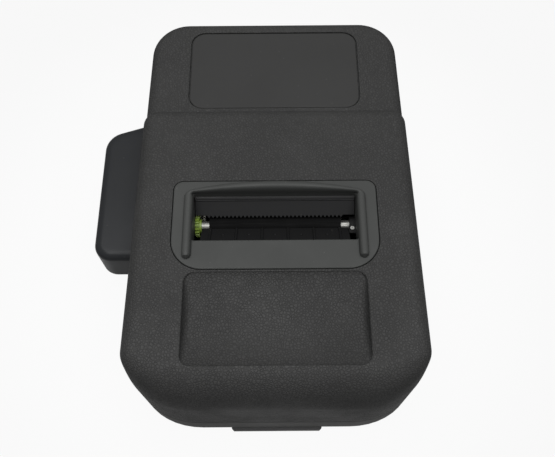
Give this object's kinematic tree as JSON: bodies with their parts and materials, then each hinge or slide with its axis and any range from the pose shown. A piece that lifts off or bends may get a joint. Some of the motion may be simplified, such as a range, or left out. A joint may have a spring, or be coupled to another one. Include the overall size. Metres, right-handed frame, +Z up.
{
  "type": "mobile printer",
  "caption": "Belt-worn thermal receipt printer lying on its back, with a paper exit under a raised guard, a geared roller, a roll bay door and a side battery pack.",
  "frame": {"origin": "on the table, under the middle of the printer's whole outline, battery pack and door tab included", "axes": "+Y along the printer towards its label end, +Z up from the table, +X away from the battery pack"},
  "size_m": [0.1254, 0.163, 0.0636],
  "materials": {
    "grained_case": "leather grain, warm near-black",
    "base_plastic": "fine matt grain",
    "label_plastic": "smooth satin, bare",
    "bezel_plastic": "smooth satin dark grey",
    "panel_plastic": "satin dark grey",
    "inner_plastic": "matt black",
    "pack_plastic": "smooth bluish black",
    "latch_plastic": "matt black",
    "roller_rubber": "ground black rubber",
    "foot_rubber": "soft black rubber",
    "gear_green": "yellow-green moulded",
    "gear_white": "natural acetal",
    "bright_steel": "bright steel",
    "dark_screws": "blackened steel",
    "motor_can": "plated can",
    "brass": "turned brass",
    "gold_contacts": "gold flash",
    "head_ceramic": "glazed ceramic",
    "head_aluminium": "cast",
    "board_green": "solder resist",
    "chip_black": "moulded epoxy",
    "capacitor_sleeve": "blue sleeve",
    "connector_ivory": "ivory nylon",
    "switch_metal": "tinned cover",
    "lens_red": "dark red lens",
    "key_red": "dull red",
    "key_grey": "mid grey",
    "light_pipe": "milky green",
    "cell_wrap": "shrink sleeve"
  },
  "bodies": {
    "case": {"upper_shell": "grained_case", "lower_shell": "base_plastic", "label_plate": "label_plastic", "exit_bezel": "bezel_plastic", "tear_bar": "panel_plastic", "paper_guide": "inner_plastic", "mechanism_frame": "inner_plastic", "platen_bushes": "inner_plastic", "idler_pin": "bright_steel", "reduction_pin": "bright_steel", "stepper_motor": "motor_can", "head_pivot_pin": "bright_steel", "head_springs": "bright_steel", "paper_sensor": "inner_plastic", "mechanism_screws": "bright_steel", "bearing_screw": "bright_steel", "roll_bay": "inner_plastic", "bay_screws": "bright_steel", "door_hinge_pin": "bright_steel", "main_board": "board_green", "board_chips": "chip_black", "board_capacitors": "capacitor_sleeve", "board_connectors": "connector_ivory", "board_screws": "bright_steel", "beeper": "chip_black", "data_port": "chip_black", "power_jack": "chip_black", "switch_board": "board_green", "tact_switches": "switch_metal", "infrared_module": "chip_black", "infrared_window": "lens_red", "status_leds": "light_pipe", "battery_contacts": "gold_contacts", "battery_latch_spring": "bright_steel", "feet": "foot_rubber", "clip_inserts": "brass", "case_screws": "dark_screws"},
    "platen": {"platen_shaft": "bright_steel", "platen_rubber": "roller_rubber", "platen_gear": "gear_green"},
    "idler": {"idler_gear": "gear_white"},
    "reduction": {"reduction_gear": "gear_white"},
    "motor_rotor": {"motor_pinion": "brass", "motor_shaft": "bright_steel"},
    "print_head": {"thermal_head": "head_ceramic", "head_heatsink": "head_aluminium"},
    "door": {"paper_door": "base_plastic", "latch_spring": "bright_steel"},
    "latch": {"door_latch": "latch_plastic"},
    "power_key": {"power_button": "key_red"},
    "feed_key": {"feed_button": "key_grey"},
    "battery": {"battery_case": "pack_plastic", "battery_cover": "inner_plastic", "battery_cells": "cell_wrap", "battery_terminals": "gold_contacts"},
    "battery_catch": {"battery_latch": "latch_plastic"}
  },
  "joints": [
    {"name": "platen_spin", "type": "hinge", "parent": "case", "child": "platen", "pos_m": [0.0094, -0.0124, 0.0462], "axis": [1, 0, 0], "continuous": true},
    {"name": "idler_spin", "type": "hinge", "parent": "case", "child": "idler", "pos_m": [-0.0206, -0.00827, 0.03905], "axis": [1, 0, 0], "continuous": true},
    {"name": "reduction_spin", "type": "hinge", "parent": "case", "child": "reduction", "pos_m": [-0.0206, -0.00234, 0.03563], "axis": [1, 0, 0], "continuous": true},
    {"name": "motor_spin", "type": "hinge", "parent": "case", "child": "motor_rotor", "pos_m": [-0.0186, 0.00647, 0.0364], "axis": [1, 0, 0], "continuous": true},
    {"name": "head_pivot", "type": "hinge", "parent": "case", "child": "print_head", "pos_m": [0.0094, -0.00588, 0.0334], "axis": [-1, 0, 0], "range_deg": [0, 3], "stiffness_Nm_per_rad": 0.05, "springref_deg": -11.46, "deforming": ["head_springs"]},
    {"name": "door_hinge", "type": "hinge", "parent": "case", "child": "door", "pos_m": [0.0094, -0.025, 0.0039], "axis": [1, 0, 0], "range_deg": [0, 95]},
    {"name": "door_latch_slide", "type": "slide", "parent": "door", "child": "latch", "axis": [0, 1, 0], "range_m": [0, 0.0018], "stiffness_N_per_m": 100, "springref_m": -0.004, "deforming": ["latch_spring"]},
    {"name": "power_press", "type": "slide", "parent": "case", "child": "power_key", "axis": [0, -1, 0], "range_m": [0, 0.0005], "stiffness_N_per_m": 150, "springref_m": -0.002},
    {"name": "feed_press", "type": "slide", "parent": "case", "child": "feed_key", "axis": [0, -1, 0], "range_m": [0, 0.0005], "stiffness_N_per_m": 150, "springref_m": -0.002},
    {"name": "battery_slide", "type": "slide", "parent": "case", "child": "battery", "axis": [-1, 0, 0], "range_m": [0, 0.04]},
    {"name": "battery_catch_slide", "type": "slide", "parent": "case", "child": "battery_catch", "axis": [0, 1, 0], "range_m": [0, 0.0025], "stiffness_N_per_m": 100, "springref_m": -0.004, "deforming": ["battery_latch_spring"]}
  ],
  "couplings": [
    {"joint": "idler_spin", "follows": "platen_spin", "ratio": -0.86364},
    {"joint": "reduction_spin", "follows": "platen_spin", "ratio": 1.5833},
    {"joint": "motor_spin", "follows": "platen_spin", "ratio": -4.2222}
  ]
}
